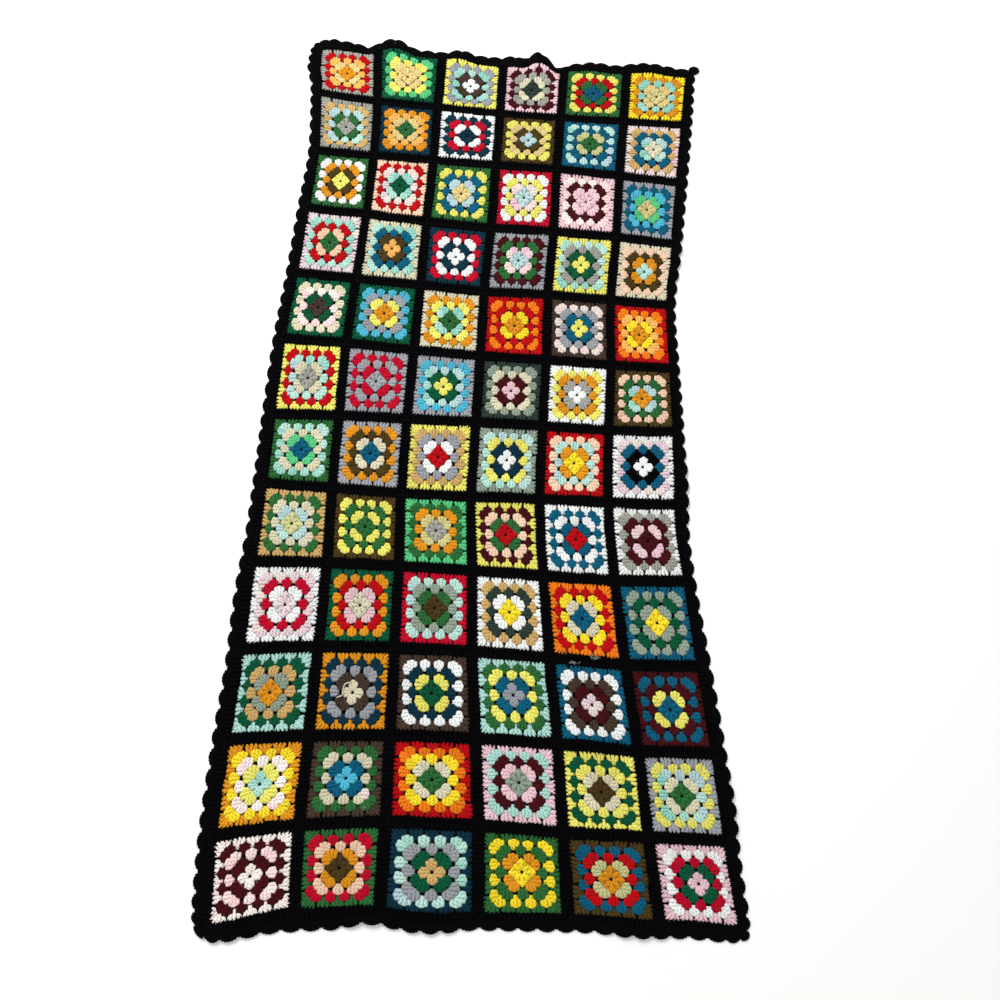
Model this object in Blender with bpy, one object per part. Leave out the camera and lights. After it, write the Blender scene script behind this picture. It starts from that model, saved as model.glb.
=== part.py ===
"""Granny square blanket, lying open on a flat surface.

Seventy-two crocheted squares are joined into twelve strips of six, the strips are joined to each
other, and one shell edging is worked round the whole. Each strip is a solid, and so is the edging.
A place on the cloth is given in squares: u from the left edge, v from the far end. X runs to the
right, Y to the far end, and Z up; the origin is on the surface, under the middle of the cloth.
"""

import math

import bpy
import numpy as np

# Driving sizes, in metres
COLUMNS = 6
ROWS = 12
SQUARE_PITCH = 0.140
JOIN_HALF = 0.010
SQUARE_THICKNESS = 0.0050
CROWN_THICKNESS = 0.0056
JOIN_THICKNESS = 0.0042
EDGING_THICKNESS = 0.0040
TIP_THICKNESS = 0.0034
SHELL_VALLEY = 0.0080
SHELL_TIP = 0.0145
SHELLS_PER_END = 28
SHELLS_PER_SIDE = 56
SHELL_POINTS = 4
SHELL_ROUNDNESS = 0.6
GAP = 0.0003
MM = 0.001

# The lines on which the strips meet, from the far end to the near one, in millimetres:
# x at the left end, the middle and the right end, then y at the same three
LINE_COLUMNS = ("x_left", "x_middle", "x_right", "y_left", "y_middle", "y_right")
LINES = (
    (-441, -18, 420, 894, 888, 906),
    (-425, -19, 409, 761, 751, 765),
    (-415, -22, 394, 607, 613, 609),
    (-423, -28, 377, 462, 452, 448),
    (-430, -36, 359, 305, 300, 296),
    (-439, -39, 363, 156, 150, 151),
    (-442, -41, 368, -5, 5, 12),
    (-443, -44, 367, -146, -150, -142),
    (-445, -37, 381, -296, -293, -295),
    (-449, -27, 405, -458, -443, -455),
    (-455, -17, 427, -613, -594, -615),
    (-457, -8, 441, -769, -740, -756),
    (-450, 4, 457, -913, -888, -903),
)

# Places where the edge is puckered: the edge, how far along it, half its width and how far it
# runs into the cloth, in squares, then how far it pushes outwards and how high it lifts, in mm
PUCKERS = (
    ("far", 0.10, 0.70, 0.9, 2, 3),
    ("far", 0.86, 0.22, 0.5, -6, 0),
    ("far", 1.28, 0.42, 0.9, 15, 9),
    ("far", 2.35, 0.30, 0.6, 6, 5),
    ("far", 3.20, 0.25, 0.5, 5, 3),
    ("far", 3.58, 0.28, 0.8, 15, 11),
    ("far", 3.93, 0.20, 0.4, -13, 0),
    ("far", 4.50, 0.45, 0.7, 6, 4),
    ("far", 5.30, 0.70, 0.8, 10, 6),
    ("near", 0.25, 0.60, 0.8, 2, 4),
    ("near", 1.78, 0.40, 0.6, -8, 6),
    ("near", 2.45, 0.55, 0.7, 6, 4),
    ("near", 4.80, 0.60, 0.6, 4, 5),
    ("left", 1.50, 0.80, 0.6, 0, 4),
    ("left", 8.40, 0.90, 0.6, 3, 5),
    ("right", 3.30, 0.70, 0.5, 0, 4),
    ("right", 6.80, 0.80, 0.6, 5, 5),
    ("right", 10.60, 0.70, 0.6, 2, 4),
)
OUTWARDS = {"far": (0, 1), "near": (0, -1), "left": (-1, 0), "right": (1, 0)}

# How far each crossing of the squares' lines is pulled, to the right and to the far end, in mm,
# and how far from the rim the pulls reach their whole size
PULLS = (
    ((7, -12), (2, -2), (8, 2), (4, -8), (0, 1), (0, -4), (3, -4)),
    ((3, -3), (1, -5), (0, -4), (2, -6), (-2, -3), (0, -1), (-3, -5)),
    ((3, -2), (0, -6), (-3, -6), (1, -5), (-1, -2), (1, -5), (-4, -6)),
    ((6, 0), (2, 3), (-4, -1), (3, -4), (3, 0), (4, 0), (-2, -5)),
    ((4, 1), (0, 1), (1, -2), (2, -6), (4, -2), (6, -3), (1, -2)),
    ((4, 0), (-1, 4), (2, -1), (2, -3), (4, -2), (4, -4), (0, -3)),
    ((6, -3), (3, -4), (1, -4), (2, -2), (-1, -2), (-5, -4), (-2, -3)),
    ((7, 0), (5, 0), (3, -2), (2, -1), (-1, 2), (-4, 1), (-6, -2)),
    ((8, -2), (8, 0), (4, 0), (4, -2), (-1, -5), (-5, -7), (-1, 0)),
    ((9, -1), (6, 0), (1, 0), (0, -1), (-1, -6), (-5, -10), (-5, 0)),
    ((8, -1), (5, -2), (-1, -1), (2, -2), (1, -5), (-1, -8), (-5, 6)),
    ((7, 0), (1, 2), (-4, 4), (6, 1), (2, -6), (3, -6), (-5, 2)),
    ((9, 4), (-1, 14), (-14, 8), (-1, 4), (0, 5), (5, 6), (2, 6)),
)
PULL_MARGIN = 0.009

# Going round the edge, in squares: each side's start, its length and how many shells it carries
PERIMETER = 2 * (COLUMNS + ROWS)
SIDES = (
    (0, COLUMNS, SHELLS_PER_END),
    (COLUMNS, ROWS, SHELLS_PER_SIDE),
    (COLUMNS + ROWS, COLUMNS, SHELLS_PER_END),
    (2 * COLUMNS + ROWS, ROWS, SHELLS_PER_SIDE),
)

# How far the edging's corner shells stand out, in metres: near right, far right, far left, near left
CORNER_TIPS = (0.017, 0.028, 0.012, 0.017)
CORNER_POINTS = 5

# Along an edge, in squares: half the stretch that gives its direction, and how near its end counts
NORMAL_STEP = 0.05
END_INSET = 1e-6

# One yarn colour for each strip, the one that shows most at its squares' edges, and the black
STRIP_YARNS = (
    "d8b94a", "5b8a8f", "b9c79a", "b7b7bd", "7d5a3c", "c9b04c",
    "b3b26a", "c79a4f", "d8a9a4", "6fb1a6", "c99a5a", "3f7f56",
)
BLACK_YARN = "0b0b0c"
YARN_ROUGHNESS = 0.9


def column(name):
    """One column of the table of lines, in metres."""
    return np.array([line[LINE_COLUMNS.index(name)] for line in LINES]) * MM


def along_strips(name, v):
    """A column of the table at v, on a smooth cubic through the lines' values."""
    values = column(name)
    padded = np.concatenate(([2 * values[0] - values[1]], values, [2 * values[-1] - values[-2]]))
    start = np.clip(np.floor(v).astype(int), 0, ROWS - 1)
    t = v - start
    before, here, there, after = (padded[start + k] for k in range(4))
    slope_here = (there - before) / 2
    slope_there = (after - here) / 2
    return (
        here * (1 + 2 * t) * (1 - t) ** 2
        + slope_here * t * (1 - t) ** 2
        + there * t**2 * (3 - 2 * t)
        - slope_there * t**2 * (1 - t)
    )


def smooth_place(u, v):
    """x and y of a place on the cloth before its edges pucker."""
    t = u / COLUMNS
    left = along_strips("x_left", v)
    right = along_strips("x_right", v)
    bow = along_strips("x_middle", v) - (left + right) / 2
    x = (1 - t) * left + t * right + 4 * t * (1 - t) * bow
    middle = along_strips("y_middle", v)
    to_left = np.clip(1 - 2 * t, 0, 1) ** 3
    to_right = np.clip(2 * t - 1, 0, 1) ** 3
    y = middle
    y = y + (along_strips("y_left", v) - middle) * to_left
    y = y + (along_strips("y_right", v) - middle) * to_right
    return x, y


def pulled(u, v):
    """u, v moved by the pulls of the four crossings round them, and not moved on the rim."""
    column_of = np.minimum(np.floor(u).astype(int), COLUMNS - 1)
    row_of = np.minimum(np.floor(v).astype(int), ROWS - 1)
    s = (u - column_of)[..., None]
    t = (v - row_of)[..., None]
    pulls = np.array(PULLS) * MM / SQUARE_PITCH
    far = (1 - s) * pulls[row_of, column_of] + s * pulls[row_of, column_of + 1]
    near = (1 - s) * pulls[row_of + 1, column_of] + s * pulls[row_of + 1, column_of + 1]
    from_rim = np.minimum(np.minimum(u, COLUMNS - u), np.minimum(v, ROWS - v)) * SQUARE_PITCH
    share = np.clip(from_rim / PULL_MARGIN, 0, 1)[..., None]
    pull = share * ((1 - t) * far + t * near)
    return u + pull[..., 0], v - pull[..., 1]


def cloth_place(u, v):
    """x, y and the height of the cloth's underside at u, v, with the puckers in."""
    u = np.asarray(u, float)
    v = np.asarray(v, float)
    x, y = smooth_place(u, v)
    z = np.zeros_like(x)
    inwards = {"far": v, "near": ROWS - v, "left": u, "right": COLUMNS - u}
    for edge, along, half_width, reach, out, lift in PUCKERS:
        position = u if edge in ("far", "near") else v
        across = np.clip(np.abs(position - along) / half_width, 0, 1)
        bump = np.cos(across * math.pi / 2) ** 2 * np.clip(1 - inwards[edge] / reach, 0, 1) ** 2
        x = x + OUTWARDS[edge][0] * out * MM * bump
        y = y + OUTWARDS[edge][1] * out * MM * bump
        z = z + lift * MM * bump
    return np.stack([x, y, z], axis=-1)


def edge_place(s):
    """u, v at s squares round the edge: near end, right side, far end, left side."""
    corners = [0, COLUMNS, COLUMNS + ROWS, 2 * COLUMNS + ROWS, PERIMETER]
    s = np.asarray(s, float) % PERIMETER
    u = np.interp(s, corners, [0, COLUMNS, COLUMNS, 0, 0])
    v = np.interp(s, corners, [ROWS, ROWS, 0, 0, ROWS])
    return u, v


def edge_normal(s, side_start, side_length):
    """Unit vector out of the cloth at s, square to the unpuckered edge of that side."""
    low = np.clip(s - NORMAL_STEP, side_start, side_start + side_length)
    high = np.clip(s + NORMAL_STEP, side_start, side_start + side_length - END_INSET)
    x0, y0 = smooth_place(*edge_place(low))
    x1, y1 = smooth_place(*edge_place(high))
    length = np.hypot(x1 - x0, y1 - y0)
    return np.stack([(y1 - y0) / length, -(x1 - x0) / length], axis=-1)


def strip_lines(row):
    """The u and v of the lines on which a strip's faces meet, and which of them are joins."""
    edge = JOIN_HALF / SQUARE_PITCH
    parts = (0, edge, 0.5, 1 - edge)
    u_lines = [square + part for square in range(COLUMNS) for part in parts] + [COLUMNS]
    v_lines = [row + part for part in (*parts, 1)]
    return np.array(u_lines), np.array(v_lines)


def thickness(u, v):
    """Thin on the joins, thicker on the squares, and thickest at their middles."""
    edge = JOIN_HALF / SQUARE_PITCH
    from_join = np.minimum(0.5 - np.abs(u % 1 - 0.5), 0.5 - np.abs(v % 1 - 0.5))
    return np.interp(from_join, [0, edge, 0.5], [JOIN_THICKNESS, SQUARE_THICKNESS, CROWN_THICKNESS])


def add_object(name, points, faces, colour):
    """An object of its own made of points and faces, with its own yarn."""
    mesh = bpy.data.meshes.new(name)
    mesh.from_pydata([tuple(p) for p in points], [], faces)
    mesh.validate()
    material = bpy.data.materials.new(name + "_yarn")
    material.use_nodes = True
    shader = material.node_tree.nodes["Principled BSDF"]
    channels = [int(colour[i : i + 2], 16) / 255 for i in (0, 2, 4)]
    shader.inputs["Base Color"].default_value = (*[c**2.2 for c in channels], 1)
    shader.inputs["Roughness"].default_value = YARN_ROUGHNESS
    mesh.materials.append(material)
    thing = bpy.data.objects.new(name, mesh)
    bpy.context.collection.objects.link(thing)
    return thing


def split_quad(a, b, c, d):
    """Two triangles for the corners a, b, c, d, taken anticlockwise seen from outside."""
    return [(a, b, c), (a, c, d)]


def add_strip(row, centre):
    """One strip of six squares: a top and a bottom on the same grid, with walls between."""
    u_lines, v_lines = strip_lines(row)
    u, v = np.meshgrid(u_lines, v_lines)
    under = cloth_place(*pulled(u, v))
    half_gap = np.zeros_like(v)
    half_gap[0] = 0.0 if row == 0 else -GAP / 2
    half_gap[-1] = 0.0 if row == ROWS - 1 else GAP / 2
    under[..., 1] += half_gap
    over = under + np.stack([0 * u, 0 * u, thickness(u, v)], axis=-1)
    points = np.concatenate([under.reshape(-1, 3), over.reshape(-1, 3)]) - centre
    wide = len(u_lines)
    deep = len(v_lines)
    top = wide * deep
    faces = []
    for j in range(deep - 1):
        for i in range(wide - 1):
            far_left = j * wide + i
            near_left = far_left + wide
            faces += split_quad(far_left, far_left + 1, near_left + 1, near_left)
            low_right = top + near_left + 1
            faces += split_quad(top + far_left, top + near_left, low_right, top + far_left + 1)
    rim = list(range(wide))
    rim += [j * wide + wide - 1 for j in range(1, deep)]
    rim += [(deep - 1) * wide + i for i in range(wide - 2, -1, -1)]
    rim += [j * wide for j in range(deep - 2, 0, -1)]
    for a, b in zip(rim, rim[1:] + rim[:1]):
        faces += split_quad(a, top + a, top + b, b)
    return add_object(f"strip_{row + 1:02d}", points, faces, STRIP_YARNS[row])


def strip_ends():
    """For each side in turn, where the strips' lines meet it, in squares from its start."""
    u_lines, _ = strip_lines(0)
    v_lines = np.unique(np.concatenate([strip_lines(row)[1] for row in range(ROWS)]).round(9))
    return u_lines, ROWS - v_lines[::-1], COLUMNS - u_lines[::-1], v_lines


def edging_inside():
    """s and points beside the strips: one at each of their lines and one behind each shell valley."""
    around = []
    points = []
    for side, lines in enumerate(strip_ends()):
        start, length, _ = SIDES[side]
        s = start + lines[:-1]
        place = cloth_place(*edge_place(s))
        normal = edge_normal(s, start, length)
        start_before, length_before, _ = SIDES[side - 1]
        end_before = np.array([start_before + length_before - END_INSET])
        normal[0] += edge_normal(end_before, start_before, length_before)[0]
        place[:, :2] += GAP * normal
        points.append(place)
        around.append(s)
    s = np.concatenate([*around, [PERIMETER]])
    points = np.concatenate([*points, points[0][:1]])
    valleys = [start + np.arange(shells) / shells * length for start, length, shells in SIDES]
    valleys = np.concatenate(valleys)
    every_s = np.unique(np.concatenate([s[:-1], valleys]).round(9))
    return every_s, np.stack([np.interp(every_s, s, points[:, k]) for k in range(3)], axis=-1)


def edging_outside():
    """s and points on the shells' outline; each shell swells from a valley to its tip."""
    around = []
    points = []
    for side, (start, length, shells) in enumerate(SIDES):
        phases = np.arange(SHELL_POINTS * shells + 1) / SHELL_POINTS
        s = start + phases / shells * length
        swell = np.abs(np.sin(math.pi * phases)) ** SHELL_ROUNDNESS
        swell[::SHELL_POINTS] = 0.0
        depth = SHELL_VALLEY + (SHELL_TIP - SHELL_VALLEY) * swell
        place = cloth_place(*edge_place(s))
        normal = edge_normal(np.minimum(s, start + length - END_INSET), start, length)
        place[:, :2] += depth[:, None] * normal
        next_start, next_length, _ = SIDES[(side + 1) % len(SIDES)]
        next_normal = edge_normal(np.array([float(next_start)]), next_start, next_length)[0]
        turn = np.linspace(0, 1, CORNER_POINTS + 2)[1:-1, None]
        fan = (1 - turn) * normal[-1] + turn * next_normal
        fan /= np.linalg.norm(fan, axis=1)[:, None]
        swell = np.sin(math.pi * turn) ** SHELL_ROUNDNESS
        reach = SHELL_VALLEY + (CORNER_TIPS[side] - SHELL_VALLEY) * swell
        corner = np.repeat(cloth_place(*edge_place([start + length])), CORNER_POINTS, axis=0)
        corner[:, :2] += reach * fan
        around += [s, np.full(CORNER_POINTS, start + length)]
        points += [place, corner]
    return np.concatenate(around), np.concatenate(points)


def add_edging(centre):
    """The shell edging: a ring whose faces join its inner and outer outlines point by point."""
    inner_s, inner = edging_inside()
    outer_s, outer = edging_outside()
    inner_count = len(inner_s)
    outer_count = len(outer_s)
    rise = np.array([0.0, 0.0, 1.0])
    over_inner = inner + EDGING_THICKNESS * rise
    over_outer = outer + TIP_THICKNESS * rise
    points = np.concatenate([inner, outer, over_inner, over_outer]) - centre
    top = inner_count + outer_count
    faces = []
    i = 0
    o = 0
    while i < inner_count or o < outer_count:
        next_inner = inner_s[i + 1] if i + 1 < inner_count else PERIMETER
        next_outer = outer_s[o + 1] if o + 1 < outer_count else PERIMETER + 1
        here_i = i % inner_count
        here_o = inner_count + o % outer_count
        take_inner = i < inner_count and (next_inner <= next_outer or o >= outer_count)
        if take_inner:
            there = (i + 1) % inner_count
            faces += [(here_i, there, here_o), (top + here_i, top + here_o, top + there)]
            faces += split_quad(here_i, top + here_i, top + there, there)
            i += 1
        else:
            there = inner_count + (o + 1) % outer_count
            faces += [(here_i, there, here_o), (top + here_i, top + here_o, top + there)]
            faces += split_quad(here_o, there, top + there, top + here_o)
            o += 1
    return add_object("edging", points, faces, BLACK_YARN)


def middle_of_outline():
    """The middle of the cloth's outline, on the surface."""
    outline = edging_outside()[1]
    low = outline.min(axis=0)
    high = outline.max(axis=0)
    return np.array([(low[0] + high[0]) / 2, (low[1] + high[1]) / 2, 0.0])


def main():
    for thing in list(bpy.data.objects):
        bpy.data.objects.remove(thing)
    centre = middle_of_outline()
    for row in range(ROWS):
        add_strip(row, centre)
    add_edging(centre)


main()
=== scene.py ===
"""Granny square blanket: its stitches, yarns and colours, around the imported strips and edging.

Seventy-two squares, each of five coloured rounds and one black round, lie in twelve strips of six
inside a black shell edging. Every stitch is a closed tube of yarn, laid out on the flat cloth: A runs
to the right and B to the far end, in millimetres on squares of 140 mm, from the cloth's far left
corner. The cloth's own lines then carry each point to where it lies, in metres.
"""

import math

import bpy
import numpy as np
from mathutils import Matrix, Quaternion, Vector


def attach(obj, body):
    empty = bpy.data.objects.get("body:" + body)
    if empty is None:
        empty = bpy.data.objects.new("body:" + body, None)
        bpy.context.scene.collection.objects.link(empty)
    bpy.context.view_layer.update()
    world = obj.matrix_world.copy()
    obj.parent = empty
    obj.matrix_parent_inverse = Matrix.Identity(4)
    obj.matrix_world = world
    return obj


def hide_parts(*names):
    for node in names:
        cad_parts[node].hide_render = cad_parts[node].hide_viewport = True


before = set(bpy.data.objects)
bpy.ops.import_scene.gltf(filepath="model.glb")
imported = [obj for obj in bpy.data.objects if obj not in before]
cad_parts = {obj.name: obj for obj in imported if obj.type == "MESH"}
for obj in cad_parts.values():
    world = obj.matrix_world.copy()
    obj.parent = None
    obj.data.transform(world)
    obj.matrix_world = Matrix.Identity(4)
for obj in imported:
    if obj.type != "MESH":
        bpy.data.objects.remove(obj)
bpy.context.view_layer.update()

MM = 0.001

# The cloth, with the lines and puckers of the strips
COLUMNS = 6
ROWS = 12
PITCH = 140.0
LINE_COLUMNS = ("x_left", "x_middle", "x_right", "y_left", "y_middle", "y_right")
LINES = (
    (-441, -18, 420, 894, 888, 906),
    (-425, -19, 409, 761, 751, 765),
    (-415, -22, 394, 607, 613, 609),
    (-423, -28, 377, 462, 452, 448),
    (-430, -36, 359, 305, 300, 296),
    (-439, -39, 363, 156, 150, 151),
    (-442, -41, 368, -5, 5, 12),
    (-443, -44, 367, -146, -150, -142),
    (-445, -37, 381, -296, -293, -295),
    (-449, -27, 405, -458, -443, -455),
    (-455, -17, 427, -613, -594, -615),
    (-457, -8, 441, -769, -740, -756),
    (-450, 4, 457, -913, -888, -903),
)
PUCKERS = (
    ("far", -0.10, 0.42, 0.55, -15, 0),
    ("far", 0.10, 0.70, 0.9, 2, 3),
    ("far", 0.86, 0.22, 0.5, -6, 0),
    ("far", 1.28, 0.42, 0.9, 15, 9),
    ("far", 2.35, 0.30, 0.6, 6, 5),
    ("far", 3.20, 0.25, 0.5, 5, 3),
    ("far", 3.58, 0.28, 0.8, 15, 11),
    ("far", 3.93, 0.20, 0.4, -13, 0),
    ("far", 4.50, 0.45, 0.7, 6, 4),
    ("far", 5.30, 0.70, 0.8, 10, 6),
    ("near", -0.10, 0.30, 0.50, -12, 0),
    ("near", 0.25, 0.60, 0.8, 5, 4),
    ("near", 1.78, 0.40, 0.6, -8, 6),
    ("near", 2.45, 0.55, 0.7, 6, 4),
    ("near", 4.80, 0.60, 0.6, 4, 5),
    ("near", 6.10, 0.30, 0.30, -8, 0),
    ("left", -0.10, 0.40, 0.45, -10, 0),
    ("left", 0.55, 0.35, 0.30, 6, 0),
    ("left", 1.50, 0.80, 0.6, 0, 4),
    ("left", 8.40, 0.90, 0.6, 3, 5),
    ("left", 12.10, 0.30, 0.45, -7, 0),
    ("right", 3.30, 0.70, 0.5, 0, 4),
    ("right", 6.80, 0.80, 0.6, 5, 5),
    ("right", 10.60, 0.70, 0.6, 2, 4),
    ("right", 12.10, 0.30, 0.30, -6, 0),
)
OUTWARDS = {"far": (0, 1), "near": (0, -1), "left": (-1, 0), "right": (1, 0)}

# How far each crossing of the squares' lines has been pulled, to the right and to the far side, in mm
PULLS = (
    ((7, -12), (2, -2), (8, 2), (4, -8), (0, 1), (0, -4), (3, -4)),
    ((3, -3), (1, -5), (0, -4), (2, -6), (-2, -3), (0, -1), (-3, -5)),
    ((3, -2), (0, -6), (-3, -6), (1, -5), (-1, -2), (1, -5), (-4, -6)),
    ((6, 0), (2, 3), (-4, -1), (3, -4), (3, 0), (4, 0), (-2, -5)),
    ((4, 1), (0, 1), (1, -2), (2, -6), (4, -2), (6, -3), (1, -2)),
    ((4, 0), (-1, 4), (2, -1), (2, -3), (4, -2), (4, -4), (0, -3)),
    ((6, -3), (3, -4), (1, -4), (2, -2), (-1, -2), (-5, -4), (-2, -3)),
    ((7, 0), (5, 0), (3, -2), (2, -1), (-1, 2), (-4, 1), (-6, -2)),
    ((8, -2), (8, 0), (4, 0), (4, -2), (-1, -5), (-5, -7), (-1, 0)),
    ((9, -1), (6, 0), (1, 0), (0, -1), (-1, -6), (-5, -10), (-5, 0)),
    ((8, -1), (5, -2), (-1, -1), (2, -2), (1, -5), (-1, -8), (-5, 6)),
    ((7, 0), (1, 2), (-4, 4), (6, 1), (2, -6), (3, -6), (-5, 2)),
    ((9, 4), (-1, 14), (-14, 8), (-1, 4), (0, 5), (5, 6), (2, 6)),
)
PULL_MARGIN = 9.0

# How far each square's centre stands from its middle, to the right and to the far side, in mm
CENTRES = (
    ((2, -9), (0, 0), (3, -7), (0, -4), (-1, 1), (0, 0)),
    ((1, -10), (0, -3), (1, -7), (0, -3), (-1, 1), (2, -1)),
    ((2, 0), (-3, 1), (-2, -5), (0, -2), (0, 0), (-2, -4)),
    ((0, 2), (-2, 3), (1, -4), (1, -1), (2, 0), (6, -2)),
    ((-1, 2), (0, 2), (2, -4), (3, -4), (4, 0), (-2, -3)),
    ((0, -2), (0, -1), (0, -4), (1, -3), (0, -3), (-2, -4)),
    ((5, -1), (4, -2), (1, -2), (0, 0), (-3, 1), (-3, -2)),
    ((3, -2), (6, 0), (4, 0), (0, -1), (-2, -3), (0, -1)),
    ((8, -2), (5, -1), (2, -1), (1, -2), (-4, -7), (-4, -5)),
    ((1, -2), (2, -4), (-2, -2), (0, 0), (-3, -9), (-5, -5)),
    ((3, -2), (0, 1), (0, 0), (3, 0), (0, -9), (-4, -3)),
    ((0, 3), (-5, 6), (-1, 0), (1, 3), (4, -3), (7, 0)),
)

# The coloured rounds of a square, in mm from its centre: clusters a side, where their posts start
# and end, how far the outer posts stand from the middle one there, and how much lower they end
ROUNDS = (
    (1, 2.4, 19.5, 1.8, 5.0, 3.0),
    (2, 12.5, 30.0, 2.6, 5.8, 2.0),
    (3, 24.0, 42.0, 2.8, 5.8, 2.0),
    (4, 34.5, 52.8, 2.8, 5.8, 2.0),
    (5, 44.0, 60.2, 2.8, 7.8, 0.0),
)
LAST = len(ROUNDS) - 1
CLUSTER_PITCH = 23.6
CORNER_LEAN = 1.5
INNER_BULGE = (0.0, 0.60, 1.0, 1.0, 0.85)
OUTER_FAN = (0.0, 0.34, 0.68, 0.92, 1.0)

# A post of three strands of yarn, from its foot to its head: shares of its length, width and
# height, and its middle's level in mm. Its foot lies under the heads of the round before.
POST_ALONG = np.array([0.0, 0.28, 0.60, 0.86, 1.0])
POST_WIDTH = np.array([1.00, 1.15, 1.15, 1.18, 0.80])
DIAMOND_WIDTH = np.array([0.90, 1.40, 1.75, 1.60, 0.90])
DIAMOND_CLOSING = 3.4 * np.array([0.0, 0.4, 0.8, 1.0, 1.0])
POST_HEIGHT = np.array([0.40, 0.75, 0.88, 1.04, 0.50])
POST_LEVEL = np.array([1.4, 2.2, 3.0, 3.3, 2.8])
OUTER_WIDTH = np.array([0.80, 1.10, 1.15, 1.30, 1.40])
OUTER_HEIGHT = np.array([0.40, 0.70, 0.85, 0.90, 0.70])
OUTER_LEVEL = np.array([1.2, 1.8, 2.7, 2.6, 2.3])
POST_HALF_WIDTH = 3.0
POST_HALF_HEIGHT = 2.1
POST_SIDES = 5

# The chain along a cluster's head, from side to side: how far down it starts, how far it reaches
# past the outer posts' ends, and how high it arches
HEAD_DOWN = 1.4
OUTER_HEAD_DOWN = 1.6
HEAD_OVERHANG = -0.2
OUTER_HEAD_OVERHANG = 2.6
HEAD_ARCH = 2.0
OUTER_HEAD_ARCH = 0.2

# A first round that is a diamond: how much further its points stand out, how much lower its outer
# posts end, its heads' reach, arch and width, and the size of its corner chains
DIAMOND_TIP = 2.0
DIAMOND_DROP = 4.0
DIAMOND_REACH = 8.4
DIAMOND_ARCH = 8.4
DIAMOND_HEAD = 1.7
DIAMOND_CORNER = 0.84

# Where the second round's posts start when the first one has open petals
PETALLED_START = 9.0
CORNER_CHAIN = np.array([[[8.0, 15.0], [12.2, 12.2], [15.0, 8.0]]])
CHAIN_LEVEL = 3.2
SUNK_CHAIN_LEVEL = 1.2
HEAD_HALF_WIDTH = 1.9
HEAD_HALF_HEIGHT = 1.5
HEAD_LEVEL = 3.7
OUTER_HEAD_LEVEL = 2.6
HEAD_SHAPE = np.array([0.75, 1.0, 0.75])
HEAD_SIDES = 4

# The black round: stitches a side, from where they bite into the fifth round to the seam
BLACK_STITCHES = 19
BITE = 57.6
SEAM = 69.0
BLACK_SIDES = 4
BLACK_HALF_WIDTH = 3.5
BLACK_HALF_HEIGHT = 1.3
BLACK_ALONG = np.array([0.0, 0.28, 0.58, 1.0])
BLACK_WIDTH = np.array([0.10, 0.48, 1.0, 0.80])
BLACK_HEIGHT = np.array([0.55, 0.95, 1.0, 0.80])
BLACK_LEVEL = np.array([4.5, 4.3, 3.5, 2.6])

# The whipped seams where the black rounds of two squares meet
SEAM_HALF_WIDTH = 1.6
SEAM_HALF_HEIGHT = 0.9
SEAM_LEVEL = 3.0
SEAM_STITCHES = 16
SEAM_SWELL = 0.35
SEAM_SWAY = 0.6
SEAM_LEAN = 0.8

# A black sheet of painted shade under the stitches, which darkens the holes between them
SHADE_SHEET_TOP = 1.5
SHADE_SHEET_BOTTOM = 0.3
SHADE_SHEET_CELLS = 8

# The shell edging: how far out its valleys and tips lie, how round its shells are, and how many
# there are. Each is a fan of stitches, whose feet stand a little closer together than their tips.
SHELL_VALLEY = 6.0
SHELL_VALLEY_AT_ENDS = 7.4
SHELL_TIP = 14.2
SHELL_ROUNDNESS = 0.8
SHELL_POSTS = 7
SHELL_FEET = 0.94
SHELL_FOOT_INSIDE = 1.0
SHELLS_PER_END = 28
SHELLS_PER_SIDE = 56
SHELL_WIDTH = np.array([0.90, 1.0, 1.1, 1.15, 0.9])
SHELL_HEIGHT = np.array([0.8, 0.9, 1.0, 1.0, 0.6])
SHELL_HALF_HEIGHT = 1.55
SHELL_LEVELS = (2.6, 2.3, 2.0)

# The fan at each corner, from the near right one round to the near left: how far out it reaches,
# and how blunt it is, a low power being a round lobe and a high one a point
CORNER_TIPS = (17.0, 28.0, 12.0, 16.0)
CORNER_ROUNDNESS = (0.8, 0.8, 0.3, 0.25)
CORNER_POSTS = 11
CORNER_STITCH_END = 1.5

# The foundation row under the shells: stitches a shell, how far inside the rim of the squares they
# start, and how far short of the valleys they end
ROW_STITCHES = 5
ROW_INSIDE = 2.5
ROW_SHORT = 0.5
ROW_HALF_WIDTH = 2.95
ROW_HALF_HEIGHT = 1.35
ROW_SHAPE = np.array([1.0, 1.0, 0.9])
ROW_LEVEL = 2.4

# How much longer than wide the squares lie, which the depth of the end shells makes up for
ROW_STRETCH = 1.07

# How a hand's work varies, as standard deviations: a square's turn in radians, the size and the
# place of its clusters and posts in mm, their levels, and the shade of the yarn along it
SQUARE_TURN = 0.02
CLUSTER_SIZE = 0.04
CLUSTER_SHIFT = 0.6
POST_SIZE = 0.05
POST_SHIFT = 0.35
POST_LIFT = 0.15
SHADE_DRIFT = 0.16
SHADE_SPREAD = 0.08
BLACK_SIZE = 0.06
BLACK_SHIFT = 0.45
BLACK_LIFT = 0.12
SHELL_LIFT = 0.1

# How much lower a cluster's outer posts lie than its middle one, and its head's ends than its middle
OUTER_POST_SINK = 0.25
HEAD_END_SINK = 0.3

# The middle of a yarn's shades, for what is all of one shade
PLAIN_SHADE = 0.5

SURFACE_CLEARANCE = 0.3
SEED = 71

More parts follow.
